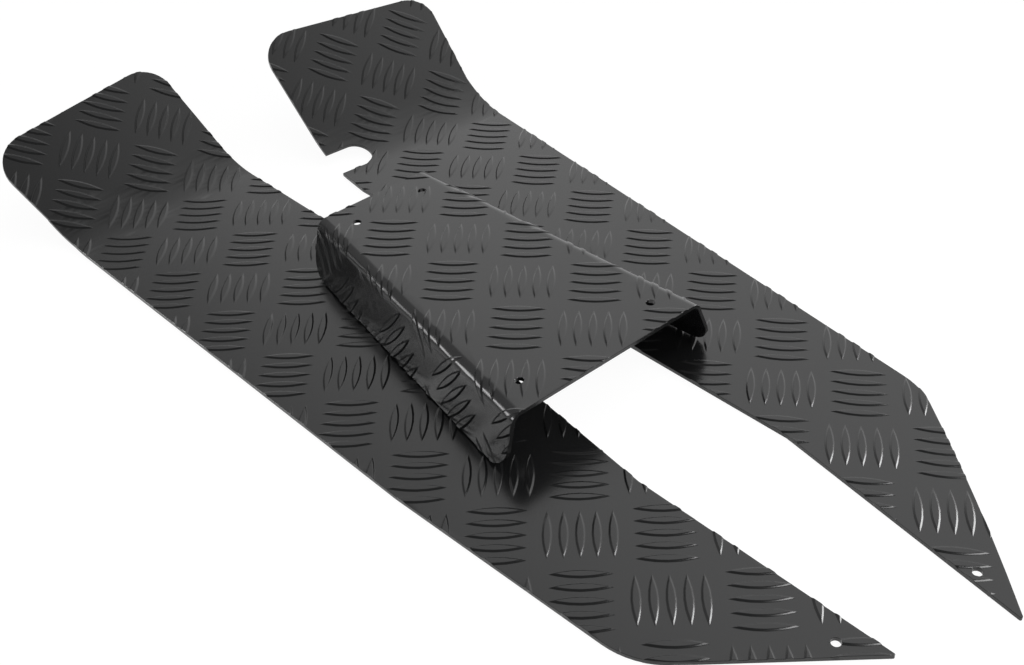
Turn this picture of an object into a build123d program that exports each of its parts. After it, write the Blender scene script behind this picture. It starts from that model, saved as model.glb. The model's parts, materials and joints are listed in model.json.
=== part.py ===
"""Scooter floorboard set: two tread-plate footboards and the folded cover that bridges them.

Each plate is cut from thin five-bar tread sheet. The boards lie flat and turn up at the front
along one wide bend. The cover is a tapered channel that stands on the boards over their gap.
X points forward, Y to the rider's left and Z up. The boards' undersides lie on Z = 0.
"""
import os
from itertools import product
from math import atan2, ceil, cos, degrees, radians, sin, tan

from build123d import *

# Tread sheet, in millimetres: groups of parallel bars, each turned by 90 degrees from its neighbours
sheet_thickness = 1.5
tread_pitch = 27.0
bars_per_group = 5
bar_spacing = 5.3
bar_length = 20.4
bar_width = 3.4
bar_height = 0.4
bar_shoulder = 6.1
bar_root = 0.3
bar_hole_gap = 1.0

# Front bend, shared by both boards; the radius is that of the tread face
bend_radius = 53.5
bend_angle = 31.0

# Footboards, shared sizes
board_width = 84.5
toe_out = 3.8
flare_start = 10.0
heel_corner_radius = 30.0
tip_radius = 0.6
fixing_hole = 3.3

# Right footboard: place of its inner edge on the bend line, then sizes back from that line
right_place_x = 119.3
right_place_y = -14.3
right_length = 339.6
right_waist_start = 12.6
right_waist_end = 240.9
right_waist_depth = 30.8
right_heel_start = 253.3
right_tip_offset = 28.0
right_heel_bow = 1.4
right_flap_inner = 58.4
right_flap_outer = 50.8
right_flap_inset = 1.0
right_flap_inner_corner = 16.5
right_flap_outer_corner = 12.0
right_bend_flare = 0.2
right_flap_flare = 6.4
right_hole_ahead = 20.4
right_hole_outward = 4.3
right_tread_back = 12.3
right_tread_outward = 68.0
right_tread_turn = -0.6
notch_width = 14.8
notch_depth = 18.6
notch_ahead = 11.7

# Left footboard, measured in the same way; each board's hole is placed from its tip
left_place_x = 152.3
left_place_y = 15.3
left_length = 356.0
left_waist_start = 57.0
left_waist_end = 255.7
left_waist_depth = 24.4
left_taper_start = 202.0
left_taper = 4.5
left_heel_start = 303.4
left_tip_offset = 25.3
left_flap_inner = 48.8
left_flap_outer = 38.9
left_flap_inset = 1.6
left_flap_inner_corner = 12.5
left_flap_outer_corner = 17.0
left_bend_flare = 1.4
left_flap_flare = 7.3
left_hole_ahead = 15.5
left_hole_outward = 8.3
left_tread_back = 9.6
left_tread_outward = 72.7
left_tread_turn = -0.2

# Centre cover: a channel that widens to the rear, standing on the tread of both boards
cover_axis_y = 3.9
cover_rear_x = -71.1
cover_length = 140.8
cover_front_width = 51.0
cover_rear_width = 85.0
cover_height = 22.1
cover_fold_radius = 3.5
flange_lean = 19.2
flange_rake = 4.5
flange_corner_radius = 9.0
cover_hole_end_inset = 12.0
cover_front_hole_spacing = 32.2
cover_rear_hole_spacing = 61.6
cover_tread_x = 39.8
cover_tread_y = 17.05

# Worked out from the sizes above
bend_run = bend_radius * sin(radians(bend_angle))
bend_rise = bend_radius * (1 - cos(radians(bend_angle)))
bend_arc = bend_radius * radians(bend_angle)
trim_margin = 40.0
flap_trim = 3 * sheet_thickness
strip_reach = board_width + trim_margin
hole_radius = fixing_hole / 2
bar_foot_width = bar_width * (bar_height + bar_root) / bar_height
shortest_bar = 2 * bar_width
cover_seat = sheet_thickness + bar_height
cover_top = cover_seat + cover_height
cover_front_x = cover_rear_x + cover_length
cover_front_hole_x = cover_front_x - cover_hole_end_inset
cover_rear_hole_x = cover_rear_x + cover_hole_end_inset
rake_slope = tan(radians(flange_rake))
foot_setback = cover_height * rake_slope
fold_turn = degrees(atan2((cover_rear_width - cover_front_width) / 2, cover_length))
fold_angle = 90 - flange_lean
fold_setback = cover_fold_radius * tan(radians(fold_angle / 2))
fold_arc = cover_fold_radius * radians(fold_angle)
flange_drop = cover_height - sheet_thickness * sin(radians(flange_lean))
flange_length = flange_drop / cos(radians(flange_lean))

right_frame = Plane(
    origin=(right_place_x, right_place_y, 0),
    x_dir=(cos(radians(toe_out)), -sin(radians(toe_out)), 0),
    z_dir=(0, 0, 1),
)
left_frame = Plane(
    origin=(left_place_x, left_place_y, 0),
    x_dir=(cos(radians(toe_out)), sin(radians(toe_out)), 0),
    z_dir=(0, 0, 1),
)
cover_middle = Plane(origin=(0, cover_axis_y, 0), x_dir=(1, 0, 0), z_dir=(0, 1, 0))


def side_plane(frame):
    """The upright plane through a board's inner edge, seen from its right: forward, then up."""
    return Plane(origin=frame.origin, x_dir=frame.x_dir, z_dir=-frame.y_dir)


def flap_plane(frame):
    """The tread face of a board's flap, from the end of the bend: along the flap, then left."""
    end = frame.from_local_coords((bend_run, 0, sheet_thickness + bend_rise))
    rise = radians(bend_angle)
    normal = frame.z_dir * cos(rise) - frame.x_dir * sin(rise)
    along = frame.x_dir * cos(rise) + frame.z_dir * sin(rise)
    return Plane(origin=end, x_dir=along, z_dir=normal)


def bent_sheet(frame, back_length, flap_length):
    """Side view of a board's sheet: flat run, bend and flap, one thickness deep."""
    with BuildSketch(side_plane(frame)) as section:
        with BuildLine():
            flat = Line((-back_length, 0), (0, 0))
            bend = JernArc(flat @ 1, flat % 1, bend_radius + sheet_thickness, bend_angle)
            Line(bend @ 1, bend @ 1 + (bend % 1) * flap_length)
            offset(amount=sheet_thickness, side=Side.LEFT)
        make_face()
    return section.sketch


def flap_outline(frame, outward, inner, outer, inset, bend_flare, flap_flare, inner_radius, outer_radius):
    """The flap's outline on its own plane; it starts inside the bend, where the edges still match."""
    overlap = bend_radius * tan(radians(bend_angle / 4))
    inner_corner = (inner, outward * inset)
    outer_corner = (outer, outward * (board_width + flap_flare))
    with BuildSketch(flap_plane(frame)) as outline:
        with BuildLine():
            Polyline(
                (-overlap, 0),
                (0, 0),
                inner_corner,
                outer_corner,
                (0, outward * (board_width + bend_flare)),
                (-overlap, outward * board_width),
                close=True,
            )
        make_face()
        fillet(outline.vertices().sort_by_distance(inner_corner)[0], inner_radius)
        fillet(outline.vertices().sort_by_distance(outer_corner)[0], outer_radius)
    return outline.sketch


def bar_lines(start, turn, low, high):
    """Ends of every tread bar that lies between two corners of a flat sheet, as pairs of points.

    The groups stand on a square lattice at 45 degrees to the sheet, through the start point.
    """
    step = Vector(tread_pitch, 0).rotate(Axis.Z, 45 + turn)
    sideways = step.rotate(Axis.Z, 90)
    reach = ceil((high - low).length / tread_pitch)
    for column, row in product(range(-reach, reach + 1), repeat=2):
        along = (step if (column + row) % 2 == 0 else sideways).normalized()
        across = along.rotate(Axis.Z, 90)
        for bar in range(bars_per_group):
            shift = (bar - (bars_per_group - 1) / 2) * bar_spacing
            middle = start + step * column + sideways * row + across * shift
            off_x = max(low.X - middle.X, middle.X - high.X)
            off_y = max(low.Y - middle.Y, middle.Y - high.Y)
            if max(off_x, off_y) < bar_length / 2:
                yield middle - along * (bar_length / 2), middle + along * (bar_length / 2)


def clear_of(holes, start, end):
    """Whether a bar stays clear of every hole, given by its centre."""
    path = Edge.make_line(start, end)
    gap = hole_radius + bar_width / 2 + bar_hole_gap
    return all(path.distance_to(hole) > gap for hole in holes)


def clipped(line, depth):
    """The part of a bar's line where a depth is positive, or nothing if too little is left."""
    start, end = line
    first, last = depth(start), depth(end)
    if max(first, last) <= 0:
        return None
    if min(first, last) < 0:
        crossing = start + (end - start) * (first / (first - last))
        start, end = (start, crossing) if first > 0 else (crossing, end)
    return (start, end) if (end - start).length > shortest_bar else None


def tread_bar(place, start, end):
    """One bar between two points of a sheet: a six-sided foot below its face and a ridge above it."""
    run = end - start
    along = run.normalized() * min(bar_shoulder, run.length / 3)
    across = along.normalized().rotate(Axis.Z, 90) * (bar_foot_width / 2)
    shoulders = (start + along, end - along)
    foot = [start, end] + [point + side for point in shoulders for side in (across, -across)]
    ridge = [place(point, bar_height) for point in shoulders]
    return ConvexPolyhedron(ridge + [place(point, -bar_root) for point in foot], mode=Mode.PRIVATE)


def board_tread(frame, start, turn, low, high, hole):
    """Every bar of a board's tread, carried round its bend and up its flap."""

    def place(point, height):
        """A point over the tread face: forward from the bend line, to the left, then off the face."""
        turned = min(max(point.X / bend_radius, 0), radians(bend_angle))
        beyond = point.X - bend_radius * turned
        arm = bend_radius - height
        forward = arm * sin(turned) + beyond * cos(turned)
        up = sheet_thickness + bend_radius - arm * cos(turned) + beyond * sin(turned)
        return frame.from_local_coords((forward, point.Y, up))

    lines = bar_lines(start, turn, low, high)
    return [tread_bar(place, *line) for line in lines if clear_of([hole], *line)]


def fold_plane(outward):
    """Upright plane across one fold of the cover at its front end: out from the sharp corner, then up."""
    corner = (cover_front_x, cover_axis_y + outward * cover_front_width / 2, cover_top)
    out = Vector(0, outward).rotate(Axis.Z, -outward * fold_turn)
    return Plane(origin=corner, x_dir=out, z_dir=out.cross(Vector(0, 0, 1)))


def flange_bars(outward, lines):
    """The bars of one flange: those of the flat sheet that pass the fold, laid on the leaning face."""
    fold = fold_plane(outward)
    lean = radians(flange_lean)
    down = fold.x_dir * sin(lean) - fold.y_dir * cos(lean)
    normal = fold.x_dir * cos(lean) + fold.y_dir * sin(lean)

    def beyond(point):
        """Run of the sheet from the far end of the fold to a point of the flat sheet."""
        return fold.to_local_coords(point).X + fold_setback - fold_arc

    def place(point, height):
        ahead = fold.z_dir * fold.to_local_coords(point).Z
        return fold.origin + ahead + down * (fold_setback + beyond(point)) + normal * height

    def above_foot(point):
        """Run of the sheet from a point to the flange's lower edge."""
        return flange_length - fold_setback - beyond(point)

    past_fold = [clipped(line, beyond) for line in lines]
    on_flange = [clipped(line, above_foot) for line in past_fold if line]
    return [tread_bar(place, *line) for line in on_flange if line]


def top_bars(lines, holes):
    """The bars of the cover's flat top: those of the flat sheet, ended where a fold begins."""

    def place(point, height):
        return point + Vector(0, 0, cover_top + height)

    def before_left_fold(point):
        return -fold_plane(1).to_local_coords(point).X - fold_setback

    def before_right_fold(point):
        return -fold_plane(-1).to_local_coords(point).X - fold_setback

    left_ended = [clipped(line, before_left_fold) for line in lines]
    both_ended = [clipped(line, before_right_fold) for line in left_ended if line]
    return [tread_bar(place, *line) for line in both_ended if line and clear_of(holes, *line)]


# Right footboard: waisted inner edge, notch in the bend, bowed heel edge that runs to a tip
right_tip = (-right_length, -right_tip_offset)
right_heel = (-right_heel_start, -board_width)
right_hole = Vector(right_hole_ahead - right_length, -right_tip_offset - right_hole_outward)
with BuildPart() as right_outline:
    with BuildSketch(right_frame) as right_plan:
        with BuildLine():
            Polyline(
                right_heel,
                (flare_start, -board_width),
                (bend_run, -board_width - right_bend_flare),
                (bend_run, 0),
                (-right_waist_start, 0),
                (-right_waist_end, -right_waist_depth),
                right_tip,
            )
            SagittaArc(right_tip, right_heel, -right_heel_bow)
        make_face()
        fillet(right_plan.vertices().sort_by_distance(right_tip)[0], tip_radius)
        fillet(right_plan.vertices().sort_by_distance(right_heel)[0], heel_corner_radius)
        with Locations((notch_ahead, 0)):
            SlotOverall(2 * notch_depth, notch_width, rotation=90, mode=Mode.SUBTRACT)
    extrude(amount=trim_margin, both=True)
    right_flap = flap_outline(
        right_frame, -1, right_flap_inner, right_flap_outer, right_flap_inset,
        right_bend_flare, right_flap_flare, right_flap_inner_corner, right_flap_outer_corner,
    )
    extrude(right_flap, amount=flap_trim, both=True)

right_bars = board_tread(
    right_frame,
    Vector(-right_tread_back, -right_tread_outward),
    right_tread_turn,
    Vector(-right_length, -board_width - right_flap_flare),
    Vector(bend_arc + right_flap_inner, 0),
    right_hole,
)
with BuildPart() as right_footboard:
    extrude(bent_sheet(right_frame, right_length, right_flap_inner), amount=strip_reach, both=True)
    add(right_bars)
    add(right_outline.part, mode=Mode.INTERSECT)
    with Locations(right_frame * Pos(right_hole.X, right_hole.Y, sheet_thickness)):
        Hole(hole_radius)

# Left footboard: no notch, a slight taper along its outer edge and a straight heel edge
left_tip = (-left_length, left_tip_offset)
left_heel = (-left_heel_start, board_width - left_taper)
left_hole = Vector(left_hole_ahead - left_length, left_tip_offset + left_hole_outward)
with BuildPart() as left_outline:
    with BuildSketch(left_frame) as left_plan:
        with BuildLine():
            Polyline(
                left_heel,
                (-left_taper_start, board_width),
                (flare_start, board_width),
                (bend_run, board_width + left_bend_flare),
                (bend_run, 0),
                (-left_waist_start, 0),
                (-left_waist_end, left_waist_depth),
                left_tip,
                close=True,
            )
        make_face()
        fillet(left_plan.vertices().sort_by_distance(left_tip)[0], tip_radius)
        fillet(left_plan.vertices().sort_by_distance(left_heel)[0], heel_corner_radius)
    extrude(amount=trim_margin, both=True)
    left_flap = flap_outline(
        left_frame, 1, left_flap_inner, left_flap_outer, left_flap_inset,
        left_bend_flare, left_flap_flare, left_flap_inner_corner, left_flap_outer_corner,
    )
    extrude(left_flap, amount=flap_trim, both=True)

left_bars = board_tread(
    left_frame,
    Vector(-left_tread_back, left_tread_outward),
    left_tread_turn,
    Vector(-left_length, 0),
    Vector(bend_arc + left_flap_inner, board_width + left_flap_flare),
    left_hole,
)
with BuildPart() as left_footboard:
    extrude(bent_sheet(left_frame, left_length, left_flap_inner), amount=strip_reach, both=True)
    add(left_bars)
    add(left_outline.part, mode=Mode.INTERSECT)
    with Locations(left_frame * Pos(left_hole.X, left_hole.Y, sheet_thickness)):
        Hole(hole_radius)

# Centre cover: half a channel drawn across its fold, mirrored, with raked ends on rounded feet
cover_holes = [
    Vector(x, cover_axis_y + side * spacing / 2)
    for x, spacing in (
        (cover_front_hole_x, cover_front_hole_spacing),
        (cover_rear_hole_x, cover_rear_hole_spacing),
    )
    for side in (-1, 1)
]
cover_lines = list(bar_lines(
    Vector(cover_tread_x, cover_tread_y),
    0,
    Vector(cover_rear_x - foot_setback, cover_axis_y - cover_rear_width / 2 - flange_length),
    Vector(cover_front_x, cover_axis_y + cover_rear_width / 2 + flange_length),
))
cover_bars = top_bars(cover_lines, cover_holes)
cover_bars += flange_bars(1, cover_lines)
cover_bars += flange_bars(-1, cover_lines)
with BuildPart() as centre_cover:
    with BuildSketch(fold_plane(1)):
        with BuildLine():
            FilletPolyline(
                (-cover_rear_width, 0),
                (0, 0),
                (flange_drop * tan(radians(flange_lean)), -flange_drop),
                radius=cover_fold_radius,
            )
            offset(amount=sheet_thickness, side=Side.RIGHT)
        make_face()
    extrude(amount=cover_length + trim_margin, both=True)
    split(bisect_by=cover_middle)
    mirror(about=cover_middle)
    add(cover_bars)
    with BuildSketch(Plane.XZ) as cover_side:
        with BuildLine():
            Polyline(
                (cover_rear_x - foot_setback, cover_seat),
                (cover_front_x - foot_setback, cover_seat),
                (cover_front_x + bar_height * rake_slope, cover_top + bar_height),
                (cover_rear_x + bar_height * rake_slope, cover_top + bar_height),
                close=True,
            )
        make_face()
        fillet(cover_side.vertices().group_by(Axis.Y)[0], flange_corner_radius)
    extrude(amount=cover_rear_width + trim_margin, both=True, mode=Mode.INTERSECT)
    with Locations(*[(hole.X, hole.Y, cover_top) for hole in cover_holes]):
        Hole(hole_radius)

right_footboard.part.label = "right_footboard"
left_footboard.part.label = "left_footboard"
centre_cover.part.label = "centre_cover"

os.makedirs("parts", exist_ok=True)
export_step(right_footboard.part, "parts/right_footboard.step")
export_step(left_footboard.part, "parts/left_footboard.step")
export_step(centre_cover.part, "parts/centre_cover.step")
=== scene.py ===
# %% [markdown]
# # A scooter floorboard in black five-bar tread sheet
# Three loose plates make the floorboard: two footboards that turn up at the front, and a folded
# cover that stands over the gap between them. The solids hold their true size and place. Here each
# plate is dressed as one closed sheet with rounded tread bars, softened edges and a satin coat.

# %% Load the fixed frame
import json
import math
from functools import partial, reduce

import bmesh
import bpy
import numpy as np
from mathutils.geometry import delaunay_2d_cdt
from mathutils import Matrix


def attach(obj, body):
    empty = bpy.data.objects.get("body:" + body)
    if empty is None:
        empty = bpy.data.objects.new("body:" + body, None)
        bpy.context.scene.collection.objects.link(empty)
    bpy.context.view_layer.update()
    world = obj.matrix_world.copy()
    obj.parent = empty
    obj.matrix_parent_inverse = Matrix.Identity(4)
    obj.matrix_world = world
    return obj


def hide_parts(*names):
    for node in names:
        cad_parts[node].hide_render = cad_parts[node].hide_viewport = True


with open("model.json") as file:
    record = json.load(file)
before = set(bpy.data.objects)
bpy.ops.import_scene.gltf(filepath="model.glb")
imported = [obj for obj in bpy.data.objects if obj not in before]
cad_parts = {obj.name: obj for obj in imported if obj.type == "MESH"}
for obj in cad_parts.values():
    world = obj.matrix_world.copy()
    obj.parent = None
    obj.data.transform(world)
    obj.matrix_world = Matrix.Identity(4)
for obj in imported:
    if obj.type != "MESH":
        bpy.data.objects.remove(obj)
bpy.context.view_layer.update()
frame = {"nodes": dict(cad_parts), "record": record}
scene = bpy.context.scene
MM = 0.001
print("solids:", sorted(frame["nodes"]))

# %% [markdown]
# ## The tread
# The sheet was rolled with groups of five parallel bars. Each group is turned by a quarter turn from
# its neighbours, so the groups form a chequered lattice at 45 degrees to the sheet's length. A bar is
# a lens with a flat crown, and its walls slope gently, because rolling leaves no sharp edge. Bump shading
# could draw it, but a bar also breaks the outline at a cut edge, so its height is a real function of the
# place on the sheet.

# %% Sizes of the sheet and its bars, in millimetres
THICKNESS = 1.5
PITCH = 27.0
BARS_PER_GROUP = 5
BAR_SPACING = 5.3
BAR_LENGTH = 20.4
BAR_WIDTH = 3.4
BAR_HEIGHT = 0.4
BAR_WALL = 0.7
WALL_BLEND = 0.5


def lattice_axes(turn):
    """Unit vectors along and across the even groups' bars, on a lattice turned by some degrees."""
    angle = math.radians(45 + turn)
    along = np.array([math.cos(angle), math.sin(angle)])
    return along, np.array([-along[1], along[0]])


def bar_inset(points, start, turn):
    """How far each point lies inside the rim of its nearest bar; negative outside every bar.

    The point is brought to its group's centre, then to its bar's centre. There the rim is a lens: half
    the width times one minus the square of the share of the half length.
    """
    along, across = lattice_axes(turn)
    local = np.stack([(points - start) @ along, (points - start) @ across], 1)
    group = np.round(local / PITCH)
    local = local - group * PITCH
    odd = (group.sum(1) % 2 != 0)[:, None]
    run, side = np.where(odd, local[:, ::-1], local).T
    reach = (BARS_PER_GROUP - 1) / 2
    side = side - BAR_SPACING * np.clip(np.round(side / BAR_SPACING), -reach, reach)
    return BAR_WIDTH / 2 * (1 - (2 * run / BAR_LENGTH) ** 2) - np.abs(side)


def tread_height(points, start, turn):
    """Height of the tread: a slope from the rim over the width of the wall, then a flat crown.

    The slope is straight, blended with a share of cosine, which rounds its foot and its shoulder.
    """
    rise = np.clip(bar_inset(points, start, turn) / BAR_WALL, 0, 1)
    rounded = (1 - np.cos(np.pi * rise)) / 2
    return BAR_HEIGHT * ((1 - WALL_BLEND) * rise + WALL_BLEND * rounded)


print("groups of", BARS_PER_GROUP, "bars,", BAR_HEIGHT, "mm high, every", PITCH, "mm")

# %% [markdown]
# ## Rings that give each bar its mesh
# A regular grid would need cells far smaller than a wall to keep a bar's edge clean. Instead every bar
# gets a few rings, which are contour lines of the height, so that the mesh is fine only on the walls.

# %% Contour rings of the bars
RING_INSETS = np.array([-0.12, 0.0, 0.15, 0.35, 0.55, 0.7, 0.82])
RIM_RING = 1
RING_POINTS = 16


def bar_rings(start, turn, low, high):
    """Points of every ring, as bars x rings x points x 2, for bars centred between two corners.

    A ring at some inset is the same lens, narrower by the inset and shorter by the root of its share.
    """
    along, across = lattice_axes(turn)
    reach = int(np.linalg.norm(high - low) / PITCH) + 1
    column, row, bar = np.meshgrid(
        np.arange(-reach, reach + 1), np.arange(-reach, reach + 1),
        np.arange(BARS_PER_GROUP) - (BARS_PER_GROUP - 1) / 2, indexing="ij",
    )
    odd = (column + row) % 2 != 0
    shift = bar * BAR_SPACING
    x = column * PITCH + np.where(odd, shift, 0)
    y = row * PITCH + np.where(odd, 0, shift)
    centre = start + x[..., None] * along + y[..., None] * across
    near = np.all((centre > low - BAR_LENGTH) & (centre < high + BAR_LENGTH), axis=-1)
    centre, odd = centre[near], odd[near]

    angle = np.arange(RING_POINTS) * 2 * np.pi / RING_POINTS
    half_width = BAR_WIDTH / 2 - RING_INSETS[:, None]
    run = BAR_LENGTH / 2 * np.sqrt(2 * half_width / BAR_WIDTH) * np.cos(angle)
    side = half_width * np.sin(angle) * np.abs(np.sin(angle))
    even_ring = run[..., None] * along + side[..., None] * across
    odd_ring = run[..., None] * across + side[..., None] * along
    return centre[:, None, None] + np.where(odd[:, None, None, None], odd_ring, even_ring)


print("each bar has", len(RING_INSETS), "rings of", RING_POINTS, "points")

# %% [markdown]
# ## The bent boards
# A board is one flat sheet with a single wide bend near its front. A sheet keeps its lengths when it
# is bent, so a point of the flat sheet goes to a known place on the bent one, and back again. The way
# back takes the outline from the solid, and the way forward bends the finished mesh.

# %% The bend as a function, and its way back
BEND_RADIUS = 53.5
BEND_ANGLE = math.radians(31.0)
BEND_ARC = BEND_RADIUS * BEND_ANGLE
BEND_ROWS = 14


class Board:
    """A footboard's place: where its inner edge meets the bend line, and how far it toes out."""

    def __init__(self, place, toe_out):
        self.place = np.array(place)
        angle = math.radians(toe_out)
        self.ahead = np.array([math.cos(angle), math.sin(angle)])
        self.left = np.array([-self.ahead[1], self.ahead[0]])

    def bent(self, points, height):
        """Flat run, then a turn about the bend's axis at the height's own radius, then the flap."""
        turned = np.clip(points[:, 0] / BEND_RADIUS, 0, BEND_ANGLE)
        beyond = points[:, 0] - BEND_RADIUS * turned
        arm = BEND_RADIUS - height
        ahead = arm * np.sin(turned) + beyond * np.cos(turned)
        up = THICKNESS + BEND_RADIUS - arm * np.cos(turned) + beyond * np.sin(turned)
        plan = self.place + ahead[:, None] * self.ahead + points[:, 1:] * self.left
        return np.column_stack([plan, up])

    def flat(self, places):
        """The way back: the turn is the angle seen from the bend's axis, held between none and all."""
        ahead = (places[:, :2] - self.place) @ self.ahead
        left = (places[:, :2] - self.place) @ self.left
        drop = THICKNESS + BEND_RADIUS - places[:, 2]
        turned = np.clip(np.arctan2(ahead, drop), 0, BEND_ANGLE)
        beyond = ahead * np.cos(turned) - drop * np.sin(turned)
        height = BEND_RADIUS - ahead * np.sin(turned) - drop * np.cos(turned)
        return np.column_stack([BEND_RADIUS * turned + beyond, left]), height

    def rows(self, low, high):
        """Lines across the sheet that share out the bend, as rows x 2 ends x 2."""
        along = np.linspace(0, BEND_ARC, BEND_ROWS + 1)
        ends = np.array([low[1], high[1]])
        return np.stack(np.broadcast_arrays(along[:, None], ends), -1)


right_board = Board(place=(119.3, -14.3), toe_out=-3.8)
left_board = Board(place=(152.3, 15.3), toe_out=3.8)
print("the bend takes", round(BEND_ARC, 1), "mm of sheet")

# %% [markdown]
# ## The folded cover
# The cover is a tapered channel. Its two folds are tight bends along slanting lines, so the same idea
# holds: each side is measured from its fold line, and what passes the line turns down round the fold.
# Bars that cross a fold are bent with the sheet, as on the real one. The coat and the press round a fold
# a little, so the sheet turns on a larger radius than the solid and still ends where its flange does.

# %% The two folds as functions, and their way back
FOLD_RADIUS = 3.5
FLANGE_LEAN = 19.2
FOLD_ANGLE = math.radians(90 - FLANGE_LEAN)
FOLD_ARC = FOLD_RADIUS * FOLD_ANGLE
FOLD_SETBACK = FOLD_RADIUS * math.tan(FOLD_ANGLE / 2)
FLANGE_DROP = 21.6
ROUND_RADIUS = 4.8
FOLD_ROWS = 8


def rounder_fold(radius):
    """Angle and stretch of a rounder fold that starts and ends where the solid's fold does.

    From the round's centre the foot is seen at some angle. The flange leaves the round where its
    tangent meets the foot, which is earlier by the arc cosine of the radius over the foot's distance.
    """
    beyond = (FLANGE_DROP - FOLD_RADIUS * (1 - math.cos(FOLD_ANGLE))) / math.sin(FOLD_ANGLE)
    foot_out = FOLD_RADIUS * math.sin(FOLD_ANGLE) + beyond * math.cos(FOLD_ANGLE)
    foot_gap = math.hypot(foot_out, radius - FLANGE_DROP)
    angle = math.atan2(foot_out, radius - FLANGE_DROP) - math.acos(radius / foot_gap)
    length = radius * angle + math.sqrt(foot_gap ** 2 - radius ** 2)
    return angle, length / (FOLD_ARC + beyond)


ROUND_ANGLE, ROUND_STRETCH = rounder_fold(ROUND_RADIUS)


class Cover:
    """The folded channel: its axis, its height, and its width at the sharp corners of both ends."""

    def __init__(self, axis_y, top, rear_x, front_x, rear_width, front_width):
        self.axis_y = axis_y
        self.top = top
        self.front_x = front_x
        self.half_front = front_width / 2
        self.turn = math.atan2((rear_width - front_width) / 2, front_x - rear_x)

    def fold_axes(self, side):
        """For each point's side: its fold's corner at the front, the way out and the way ahead."""
        corner = np.stack([np.full_like(side, self.front_x), self.axis_y + side * self.half_front], -1)
        out = np.stack([np.full_like(side, math.sin(self.turn)), side * math.cos(self.turn)], -1)
        ahead = np.stack([np.full_like(side, math.cos(self.turn)), -side * math.sin(self.turn)], -1)
        return corner, out, ahead

    def bent(self, points, height):
        """Flat top, then a turn about the rounder fold's axis at the height's own radius, then the flange."""
        corner, out, ahead = self.fold_axes(np.where(points[:, 1] < self.axis_y, -1.0, 1.0))
        run = np.sum((points - corner) * out, 1) + FOLD_SETBACK
        run = np.where(run > 0, run * ROUND_STRETCH, run)
        turned = np.clip(run / ROUND_RADIUS, 0, ROUND_ANGLE)
        beyond = run - ROUND_RADIUS * turned
        arm = ROUND_RADIUS + height
        outward = arm * np.sin(turned) + beyond * np.cos(turned) - FOLD_SETBACK
        up = self.top - ROUND_RADIUS + arm * np.cos(turned) - beyond * np.sin(turned)
        along = np.sum((points - corner) * ahead, 1)
        return np.column_stack([corner + outward[:, None] * out + along[:, None] * ahead, up])

    def flat(self, places):
        """The way back from the solid, with the turn read from the axis of the solid's own fold."""
        corner, out, ahead = self.fold_axes(np.where(places[:, 1] < self.axis_y, -1.0, 1.0))
        outward = np.sum((places[:, :2] - corner) * out, 1) + FOLD_SETBACK
        along = np.sum((places[:, :2] - corner) * ahead, 1)
        lift = places[:, 2] - self.top + FOLD_RADIUS
        turned = np.clip(np.arctan2(outward, lift), 0, FOLD_ANGLE)
        beyond = outward * np.cos(turned) - lift * np.sin(turned)
        height = outward * np.sin(turned) + lift * np.cos(turned) - FOLD_RADIUS
        run = FOLD_RADIUS * turned + beyond - FOLD_SETBACK
        return corner + run[:, None] * out + along[:, None] * ahead, height

    def rows(self, low, high):
        """Lines along both folds that share out each turn, as rows x 2 ends x 2."""
        side = np.repeat([-1.0, 1.0], FOLD_ROWS + 1)
        arc = ROUND_RADIUS * ROUND_ANGLE / ROUND_STRETCH
        run = np.tile(np.linspace(0, arc, FOLD_ROWS + 1), 2) - FOLD_SETBACK
        corner, out, ahead = self.fold_axes(side)
        line = corner + run[:, None] * out
        reach = high[0] - low[0]
        return np.stack([line - reach * ahead, line + reach * ahead], 1)


cover_sheet = Cover(axis_y=3.9, top=24.0, rear_x=-71.1, front_x=69.7, rear_width=85.0, front_width=51.0)
print("each fold turns by", round(math.degrees(ROUND_ANGLE), 1), "degrees, stretch", round(ROUND_STRETCH, 4))

# %% [markdown]
# ## The outline, read from the solid
# The solids already hold the true cut of each plate, so the outline isn't drawn twice. The underside
# of a solid has no bars. Its faces are those whose corners all lie one thickness below the tread, and
# an edge that only one of them uses is on the outline. Round holes are redrawn as true circles.

# %% Outline and holes of a plate on the flat sheet
UNDERSIDE_BAND = 0.05
WELD = 0.002
HOLE_RADIUS = 1.65
HOLE_MARGIN = 1.2
HOLE_POINTS = 40


def boundary_edges(triangles):
    """Edges that only one triangle uses, each in that triangle's order of travel."""
    edges = triangles[:, [0, 1, 1, 2, 2, 0]].reshape(-1, 2)
    index, count = np.unique(np.sort(edges, 1), axis=0, return_inverse=True, return_counts=True)[1:]
    return edges[count[index.reshape(-1)] == 1]


def underside_outline(node, sheet):
    """Points of the outline on the flat sheet, and its edges in order of travel, as index pairs."""
    mesh = frame["nodes"][node].data
    places = np.empty(len(mesh.vertices) * 3, np.float32)
    mesh.vertices.foreach_get("co", places)
    mesh.calc_loop_triangles()
    corners = np.empty(len(mesh.loop_triangles) * 3, np.int32)
    mesh.loop_triangles.foreach_get("vertices", corners)
    flat, height = sheet.flat(places.reshape(-1, 3) / MM)
    low_side = np.abs(height + THICKNESS) < UNDERSIDE_BAND
    corners = corners.reshape(-1, 3)
    corners = corners[low_side[corners].all(1)]
    grid = np.round(flat / WELD).astype(int)
    first, merged = np.unique(grid, axis=0, return_index=True, return_inverse=True)[1:]
    edges = boundary_edges(merged.reshape(-1)[corners])
    used, edges = np.unique(edges, return_inverse=True)
    return flat[first][used], edges.reshape(-1, 2)


def without_holes(points, edges, holes):
    """The outline with the rough rings of the round holes left out."""
    gap = np.linalg.norm(points[:, None] - holes[None], axis=-1).min(1)
    kept = edges[(gap[edges] > HOLE_RADIUS * HOLE_MARGIN).all(1)]
    used, kept = np.unique(kept, return_inverse=True)
    return points[used], kept.reshape(-1, 2)


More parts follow.
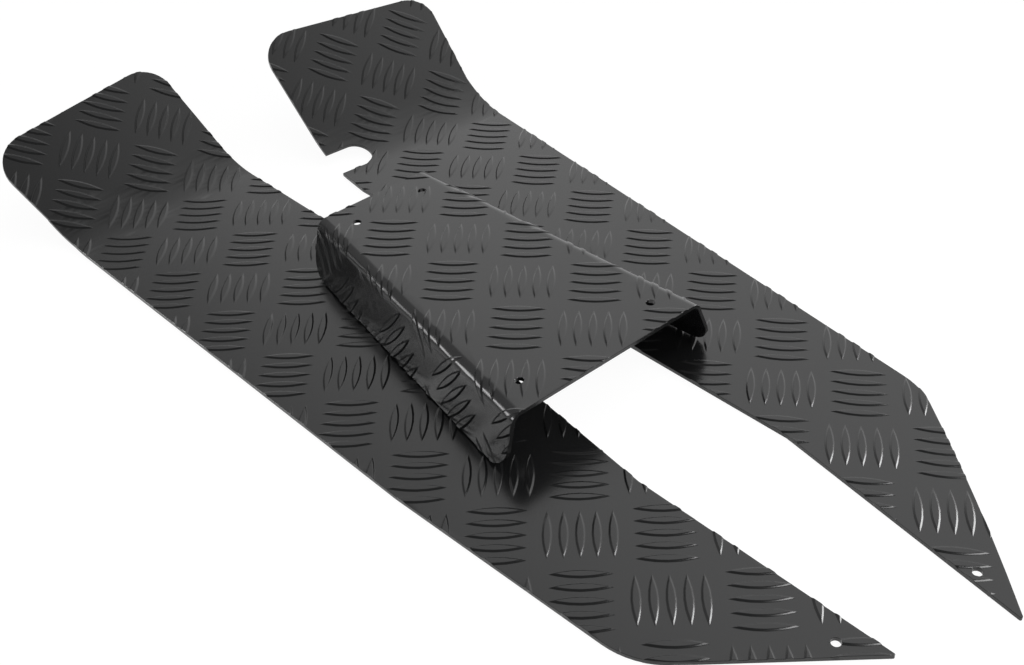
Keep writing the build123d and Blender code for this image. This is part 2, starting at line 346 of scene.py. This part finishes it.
def circles(holes, radius):
    """Round rings about the hole centres, as holes x points x 2."""
    angle = np.arange(HOLE_POINTS) * 2 * np.pi / HOLE_POINTS
    ring = radius * np.stack([np.cos(angle), np.sin(angle)], -1)
    return holes[:, None] + ring


def ring_edges(count, length, first):
    """Index pairs that close each of several rings of equal length, numbered from first."""
    index = np.arange(count * length).reshape(count, length) + first
    return np.stack([index, np.roll(index, -1, 1)], -1).reshape(-1, 2)


print("round holes:", 2 * HOLE_RADIUS, "mm across, in", HOLE_POINTS, "points")

# %% [markdown]
# ## The flat pattern
# The outline, the holes, the rings and the bend's rows are laid over each other on the flat sheet, and
# one constrained triangulation joins them. Triangles outside the outline are dropped. A trimmed grid of
# squares could serve too, but it would leave steps along every slanted edge. A narrow line just inside
# every cut edge lets the edge be rounded a little, as a coat of paint rounds it.

# %% Triangulate the flat pattern
EDGE_INSET = 0.1


def inside(points, ends):
    """Whether each point lies inside the outline: a ray to the right crosses it an odd number of times."""
    low, high = ends[None, :, 0], ends[None, :, 1]
    x, y = points[:, None, 0], points[:, None, 1]
    spans = (low[..., 1] > y) != (high[..., 1] > y)
    rise = np.where(spans, high[..., 1] - low[..., 1], 1)
    crossing = low[..., 0] + (y - low[..., 1]) / rise * (high[..., 0] - low[..., 0])
    return (spans & (crossing > x)).sum(1) % 2 == 1


def inset_ring(points, edges, amount):
    """Outline points moved inwards along the mean of their two edges' normals."""
    ahead = points[edges[:, 1]] - points[edges[:, 0]]
    ahead = ahead / np.linalg.norm(ahead, axis=1, keepdims=True)
    normal = np.stack([-ahead[:, 1], ahead[:, 0]], 1)
    total = np.zeros_like(points)
    np.add.at(total, edges[:, 0], normal)
    np.add.at(total, edges[:, 1], normal)
    length = np.linalg.norm(total, axis=1, keepdims=True)
    return points + total / length * amount


def flat_pattern(node, sheet, tread, holes):
    """Points and triangles of one plate on the flat sheet, and the number of its bars."""
    outline, edges = underside_outline(node, sheet)
    begin, end = outline[edges[:, 0]], outline[edges[:, 1]]
    if np.sum(begin[:, 0] * end[:, 1] - end[:, 0] * begin[:, 1]) < 0:
        edges = edges[:, ::-1]
    outline, edges = without_holes(outline, edges, holes)
    low, high = outline.min(0), outline.max(0)
    rings = bar_rings(*tread, low, high)
    rim_inside = inside(rings[:, RIM_RING].reshape(-1, 2), outline[edges])
    rings = rings[rim_inside.reshape(len(rings), -1).any(1)]
    rows = sheet.rows(low, high)

    blocks = [outline, inset_ring(outline, edges, EDGE_INSET)]
    blocks += [circles(holes, HOLE_RADIUS), circles(holes, HOLE_RADIUS + EDGE_INSET), rings, rows]
    blocks = [block.reshape(-1, 2) for block in blocks]
    starts = np.cumsum([0] + [len(block) for block in blocks])
    constraints = np.concatenate([
        edges,
        edges + starts[1],
        ring_edges(len(holes), HOLE_POINTS, starts[2]),
        ring_edges(len(holes), HOLE_POINTS, starts[3]),
        ring_edges(len(rings) * len(RING_INSETS), RING_POINTS, starts[4]),
        np.arange(len(rows) * 2).reshape(-1, 2) + starts[5],
    ])
    found = delaunay_2d_cdt(np.concatenate(blocks).tolist(), constraints.tolist(), [], 0, WELD)
    points, triangles = np.array(found[0]), np.array(found[2])
    middle = points[triangles].mean(1)
    gap = np.linalg.norm(middle[:, None] - holes[None], axis=-1).min(1)
    kept = inside(middle, outline[edges]) & (gap > HOLE_RADIUS * math.cos(math.pi / HOLE_POINTS))
    used, triangles = np.unique(triangles[kept], return_inverse=True)
    return points[used], triangles.reshape(-1, 3), len(rings)


print("a line runs", EDGE_INSET, "mm inside every cut edge")

# %% [markdown]
# ## From flat pattern to plate
# The same pattern makes both faces of the sheet, the rim between them gets its wall, and only then is
# the whole sheet bent. A Solidify modifier could thicken a bent face, but it would copy the bars to the
# underside, which is smooth on rolled sheet.

# %% Thicken and bend
EDGE_DROP = 0.1
SHARP_ANGLE = math.radians(32)


def merge_doubles(mesh):
    """Joins points that nearly coincide where a row of the bend meets a corner of the outline."""
    shell = bmesh.new()
    shell.from_mesh(mesh)
    bmesh.ops.remove_doubles(shell, verts=shell.verts, dist=WELD * MM)
    shell.to_mesh(mesh)
    shell.free()


def plate(name, node, sheet, tread, holes):
    """One closed plate: two faces from the flat pattern and a wall round every edge, bent to shape."""
    points, triangles, bars = flat_pattern(node, sheet, tread, holes)
    rim = boundary_edges(triangles)
    drop = np.zeros(len(points))
    drop[rim] = EDGE_DROP
    height = tread_height(points, *tread)
    top = sheet.bent(points, height - drop)
    bottom = sheet.bent(points, drop - THICKNESS)
    count = len(points)
    walls = np.stack([rim[:, 1], rim[:, 0], rim[:, 0] + count, rim[:, 1] + count], 1)
    mesh = bpy.data.meshes.new(name)
    faces = triangles.tolist() + (triangles[:, ::-1] + count).tolist() + walls.tolist()
    mesh.from_pydata((np.concatenate([top, bottom]) * MM).tolist(), [], faces)
    edge_mark = mesh.attributes.new("cut_edge", "FLOAT", "POINT")
    edge_mark.data.foreach_set("value", np.tile(drop / EDGE_DROP, 2).astype(np.float32))
    merge_doubles(mesh)
    mesh.set_sharp_from_angle(angle=SHARP_ANGLE)
    piece = bpy.data.objects.new(name, mesh)
    scene.collection.objects.link(piece)
    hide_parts(node)
    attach(piece, "root")
    print(name, "bars:", bars, "faces:", len(mesh.polygons), "rim edges:", len(rim))
    return piece


# %% [markdown]
# ## The three plates
# Each plate was cut from its own place on the rolled sheet, so its tread starts elsewhere. A tread is
# given by the centre of one group on the flat sheet and by the lattice's turn in degrees. The holes lie
# where the record's mounts say.

# %% Make the three plates
def mount_places(*names):
    """Centres of the holes of the named mounts, in millimetres: a mount's place, or half its spacing off."""
    found = {mount["name"]: mount for mount in frame["record"]["mounts"]}
    places = []
    for name in names:
        place = np.array(found[name]["pos_m"]) / MM
        half = found[name]["dims"].get("spacing_y_mm", 0) / 2
        places += [place + (0, side * half, 0) for side in ((-1, 1) if half else (0,))]
    return np.array(places)


right_holes = right_board.flat(mount_places("right_rear_hole"))[0]
left_holes = left_board.flat(mount_places("left_rear_hole"))[0]
cover_holes = mount_places("cover_front_holes", "cover_rear_holes")[:, :2]
right_tread = ((-12.3, -68.0), -0.6)
left_tread = ((-9.6, 72.7), -0.2)
cover_tread = ((39.8, 17.05), 0.0)
plates = [
    plate("right_footboard_sheet", "right_footboard", right_board, right_tread, right_holes),
    plate("left_footboard_sheet", "left_footboard", left_board, left_tread, left_holes),
    plate("centre_cover_sheet", "centre_cover", cover_sheet, cover_tread, cover_holes),
]

# %% [markdown]
# ## The satin black coat
# The sheet is coated in black with a satin sheen, which lifts it to a soft grey where it mirrors the
# bright side of the room. A flat colour would look like plastic. A soft noise varies the sheen as a
# sprayed coat does, and a very fine bump gives the powder's grain. Along the cut edges the colour is
# painted a little lighter in patches, a painted highlight where the edges catch the light.

# %% Satin coat material
COAT_COLOUR = (0.0085, 0.0087, 0.009, 1)
# Lighter colour of the painted highlight along the cut edges.
EDGE_HIGHLIGHT_COLOUR = (0.014, 0.014, 0.014, 1)
SMOOTHEST = 0.17
ROUGHEST = 0.25
CLOUD_SCALE = 38.0
CLOUD_DETAIL = 4.0
GRAIN_SCALE = 1900.0
GRAIN_DETAIL = 2.0
GRAIN_STRENGTH = 0.12
GRAIN_HEIGHT = 0.05 * MM


def join(tree, operation, one, other):
    """One number from two, by a named operation such as a product or the larger of both."""
    node = tree.nodes.new("ShaderNodeMath")
    node.operation = operation
    tree.links.new(one, node.inputs[0])
    tree.links.new(other, node.inputs[1])
    return node.outputs[0]


def noise(tree, place, scale, detail):
    """Soft noise over a place, from 0 to 1."""
    node = tree.nodes.new("ShaderNodeTexNoise")
    node.inputs["Scale"].default_value = scale
    node.inputs["Detail"].default_value = detail
    tree.links.new(place, node.inputs["Vector"])
    return node.outputs["Fac"]


def satin_coat():
    """Black coat: noise sets its roughness, fine bump its grain, and noise on the cut edge a patchy painted
    highlight.
    """
    material = bpy.data.materials.new("satin_black_coat")
    material.use_nodes = True
    tree = material.node_tree
    shader = tree.nodes["Principled BSDF"]
    place = tree.nodes.new("ShaderNodeTexCoord").outputs["Object"]

    cloud = noise(tree, place, CLOUD_SCALE, CLOUD_DETAIL)
    sheen = tree.nodes.new("ShaderNodeMapRange")
    sheen.inputs["To Min"].default_value = SMOOTHEST
    sheen.inputs["To Max"].default_value = ROUGHEST
    tree.links.new(cloud, sheen.inputs["Value"])
    tree.links.new(sheen.outputs["Result"], shader.inputs["Roughness"])

    # Painted highlight: the cut edges and walls are mixed towards a lighter colour in noisy patches.
    edge = tree.nodes.new("ShaderNodeAttribute")
    edge.attribute_name = "cut_edge"
    colour = tree.nodes.new("ShaderNodeMix")
    colour.data_type = "RGBA"
    colour.inputs["A"].default_value = COAT_COLOUR
    colour.inputs["B"].default_value = EDGE_HIGHLIGHT_COLOUR
    tree.links.new(join(tree, "MULTIPLY", edge.outputs["Fac"], cloud), colour.inputs["Factor"])
    tree.links.new(colour.outputs["Result"], shader.inputs["Base Color"])

    bump = tree.nodes.new("ShaderNodeBump")
    bump.inputs["Strength"].default_value = GRAIN_STRENGTH
    bump.inputs["Distance"].default_value = GRAIN_HEIGHT
    tree.links.new(noise(tree, place, GRAIN_SCALE, GRAIN_DETAIL), bump.inputs["Height"])
    tree.links.new(bump.outputs["Normal"], shader.inputs["Normal"])
    return material


coat = satin_coat()
for piece in plates:
    piece.data.materials.append(coat)
for node in frame["nodes"].values():
    node.data.materials.clear()
    node.data.materials.append(coat)
print("coated:", [piece.name for piece in plates])

# %% [markdown]
# ## The white floor
# The plates lie on a white floor that runs out of sight. A floor lit up to white would need so much light
# that the black coat turned grey. Instead the floor's material asks which ray is looking: the eye and
# mirrored rays find a soft white glow, all others a plain pale surface. A share of the plain surface stays
# in the mix, so the plates keep their soft shadow.

# %% White floor
FLOOR_HALF = 10.0
FLOOR_GAP = 0.02 * MM
FLOOR_COLOUR = (0.8, 0.8, 0.8, 1)
FLOOR_GLOW = 1.1
GLOW_SHARE = 0.85


def white_floor():
    """A large square under the plates: white to the eye, and a little grey where the plates shade it."""
    corners = np.array([(-1, -1, 0), (1, -1, 0), (1, 1, 0), (-1, 1, 0)]) * FLOOR_HALF
    mesh = bpy.data.meshes.new("floor")
    mesh.from_pydata((corners - (0, 0, FLOOR_GAP)).tolist(), [], [(0, 1, 2, 3)])
    floor = bpy.data.objects.new("floor", mesh)
    scene.collection.objects.link(floor)
    material = bpy.data.materials.new("white_floor")
    material.use_nodes = True
    tree = material.node_tree
    tree.nodes.clear()
    diffuse = tree.nodes.new("ShaderNodeBsdfDiffuse")
    diffuse.inputs["Color"].default_value = FLOOR_COLOUR
    glow = tree.nodes.new("ShaderNodeEmission")
    glow.inputs["Strength"].default_value = FLOOR_GLOW
    path = tree.nodes.new("ShaderNodeLightPath").outputs
    looking = [path["Is Camera Ray"], path["Is Glossy Ray"], path["Is Transmission Ray"]]
    share = tree.nodes.new("ShaderNodeMath")
    share.operation = "MULTIPLY"
    share.inputs[1].default_value = GLOW_SHARE
    tree.links.new(reduce(partial(join, tree, "MAXIMUM"), looking), share.inputs[0])
    mix = tree.nodes.new("ShaderNodeMixShader")
    tree.links.new(share.outputs[0], mix.inputs["Fac"])
    tree.links.new(diffuse.outputs[0], mix.inputs[1])
    tree.links.new(glow.outputs[0], mix.inputs[2])
    output = tree.nodes.new("ShaderNodeOutputMaterial")
    tree.links.new(mix.outputs[0], output.inputs["Surface"])
    mesh.materials.append(material)
    return floor


floor = white_floor()
print("floor:", 2 * FLOOR_HALF, "m across")

# %% [markdown]
# ## A room with one bright side
# A black coat shows little colour of its own, so its look is what it mirrors. The photographed plates
# mirror a large bright wall on their right and a dim ceiling, which is why their tops are grey while the
# walls of the bars that face the eye are black. An image of a room could do this, but smooth steps over
# the direction of the light are enough: each layer is a product of steps, and the brightest layer counts.

# %% Room of light, by direction
scene.view_settings.view_transform = "Standard"
RIGHT = (0.054, -0.998, 0.014)
FORWARD = (1.0, 0.0, 0.0)
UP = (0.0, 0.0, 1.0)
DIM = 0.22
ROOM_LAYERS = {
    "wall of light": (DIM, 1.45, [(RIGHT, 0.18, 0.53), (FORWARD, -0.6, -0.1)]),
    "low light on the right": (0.0, 1.4, [(UP, 0.58, 0.34), (RIGHT, 0.0, 0.25), (FORWARD, -0.7, -0.35)]),
    "low light behind": (0.0, 0.65, [(UP, 0.52, 0.28), (RIGHT, 0.0, 0.25)]),
    "glow ahead": (0.0, 0.62, [(FORWARD, 0.25, 0.5), (UP, 0.3, 0.5), (UP, 0.95, 0.84), (RIGHT, 0.45, 0.2)]),
    "fill on the left": (0.0, 0.7, [(RIGHT, -0.1, -0.5), (FORWARD, 0.5, 0.15), (UP, 0.65, 0.4)]),
}


def soft_step(tree, direction, way, first, last):
    """Smooth step from 0 to 1 while the direction's share along some way goes from first to last."""
    facing = tree.nodes.new("ShaderNodeVectorMath")
    facing.operation = "DOT_PRODUCT"
    facing.inputs[1].default_value = way
    tree.links.new(direction, facing.inputs[0])
    step = tree.nodes.new("ShaderNodeMapRange")
    step.interpolation_type = "SMOOTHSTEP"
    step.inputs["From Min"].default_value = first
    step.inputs["From Max"].default_value = last
    tree.links.new(facing.outputs["Value"], step.inputs["Value"])
    return step.outputs["Result"]


def room_layer(tree, direction, dim, bright, steps):
    """Light of one layer: dim where any of its steps is 0, bright where all are 1."""
    shares = [soft_step(tree, direction, *step) for step in steps]
    light = tree.nodes.new("ShaderNodeMapRange")
    light.inputs["To Min"].default_value = dim
    light.inputs["To Max"].default_value = bright
    tree.links.new(reduce(partial(join, tree, "MULTIPLY"), shares), light.inputs["Value"])
    return light.outputs["Result"]


def bright_sided_room():
    """World light: the brightest layer in each direction, and plain white to the eye itself."""
    world = bpy.data.worlds.new("bright_sided_room")
    world.use_nodes = True
    tree = world.node_tree
    direction = tree.nodes.new("ShaderNodeTexCoord").outputs["Generated"]
    layers = [room_layer(tree, direction, *layer) for layer in ROOM_LAYERS.values()]
    path = tree.nodes.new("ShaderNodeLightPath").outputs
    straight = join(tree, "MAXIMUM", path["Is Camera Ray"], path["Is Transmission Ray"])
    seen = tree.nodes.new("ShaderNodeMix")
    seen.inputs["B"].default_value = 1.0
    tree.links.new(reduce(partial(join, tree, "MAXIMUM"), layers), seen.inputs["A"])
    tree.links.new(straight, seen.inputs["Factor"])
    background = tree.nodes["Background"]
    background.inputs["Color"].default_value = (1, 1, 1, 1)
    tree.links.new(seen.outputs["Result"], background.inputs["Strength"])
    return world


scene.world = bright_sided_room()
print("layers of light:", list(ROOM_LAYERS))

# %% [markdown]
# ## Three softboxes with grids
# The bars near the pointed tips carry bright glints, and the cover's left fold a bright line. Each comes
# from a small softbox close by. A grid in front of a softbox keeps its light on that one spot, so the rest
# of the plates isn't washed out when they are seen from other sides.

# %% Three softboxes
TIPS = np.array([-0.19, 0.0, 0.0])
FOLD = np.array([-0.05, 0.045, 0.02])
WIDE_GRID = 30
NARROW_GRID = 12


def softbox(name, target, azimuth, elevation, distance, size, radiance, grid):
    """A flat lamp that faces a target from a direction in degrees, with a grid that ends its beam.

    Its power is pi times the radiance times the area, times the share that the grid lets out: one minus
    the grid's angle over the tangent of that angle.
    """
    width, height = size
    half_beam = math.radians(grid)
    lamp_data = bpy.data.lights.new(name, "AREA")
    lamp_data.shape = "RECTANGLE"
    lamp_data.size = width
    lamp_data.size_y = height
    lamp_data.spread = 2 * half_beam
    lamp_data.energy = math.pi * radiance * width * height * (1 - half_beam / math.tan(half_beam))
    lamp = bpy.data.objects.new(name, lamp_data)
    side, up = math.radians(azimuth), math.radians(elevation)
    way = np.array([math.cos(up) * math.cos(side), math.cos(up) * math.sin(side), math.sin(up)])
    lamp.location = target + way * distance
    lamp.rotation_euler = (math.pi / 2 - up, 0, side + math.pi / 2)
    scene.collection.objects.link(lamp)
    return lamp


lamps = [
    softbox("rear_softbox", TIPS, 186, 54, 0.5, (0.2, 0.18), 11.0, WIDE_GRID),
    softbox("right_softbox", TIPS, -102, 22, 0.5, (0.17, 0.24), 14.0, WIDE_GRID),
    softbox("front_left_softbox", FOLD, 40, 18, 0.8, (0.2, 0.18), 16.0, NARROW_GRID),
]
print("softboxes in watts:", [round(lamp.data.energy, 3) for lamp in lamps])

# %% [markdown]
# ## The camera
# The lattice of the tread is square, so its picture fixes where the camera stood: close to the tips, on
# the left, looking down at about 40 degrees. The lens follows from the lattice in the same way.

# %% Camera at the photograph's view
CAMERA_PLACE = (-0.3262, 0.2413, 0.3192)
CAMERA_TURN = (50.862, 3.046, -129.976)
CAMERA_LENS = 46.86
camera_data = bpy.data.cameras.new("camera")
camera_data.lens = CAMERA_LENS
camera = bpy.data.objects.new("camera", camera_data)
camera.location = CAMERA_PLACE
camera.rotation_euler = [math.radians(angle) for angle in CAMERA_TURN]
scene.collection.objects.link(camera)
scene.camera = camera
print("camera:", CAMERA_LENS, "mm lens,", CAMERA_PLACE[2], "m above the floor")
